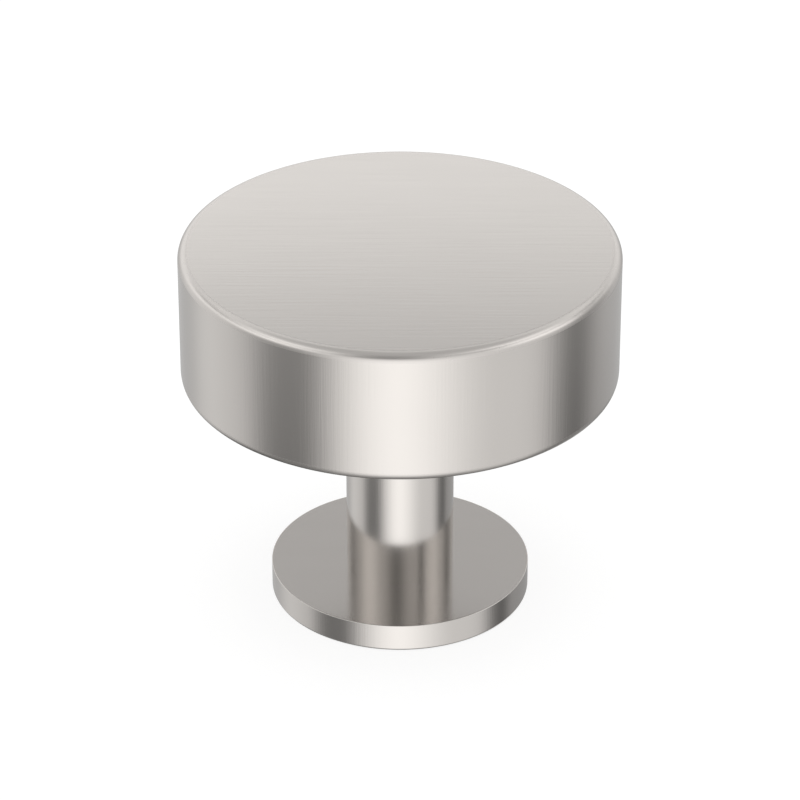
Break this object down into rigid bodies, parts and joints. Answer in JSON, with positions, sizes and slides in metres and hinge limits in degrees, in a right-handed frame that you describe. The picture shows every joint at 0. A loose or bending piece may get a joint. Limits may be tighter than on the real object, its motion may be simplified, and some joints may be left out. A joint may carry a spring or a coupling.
{
  "type": "cabinet knob",
  "caption": "Round cabinet knob with a thick flat disc head on a slim straight post and a thin round foot, cast in one piece in satin nickel, held by a screw from behind.",
  "frame": {"origin": "centre of the foot's flat seat, on the door's surface", "axes": "+Z along the knob's axis, out of the door and towards the head's face; X and Y are alike, because the knob is round"},
  "size_m": [0.0318, 0.0318, 0.0281],
  "materials": {
    "satin_nickel": "satin nickel plate over a polished and fine brushed zinc alloy casting"
  },
  "bodies": {
    "root": {"knob": "satin_nickel"}
  },
  "joints": []
}
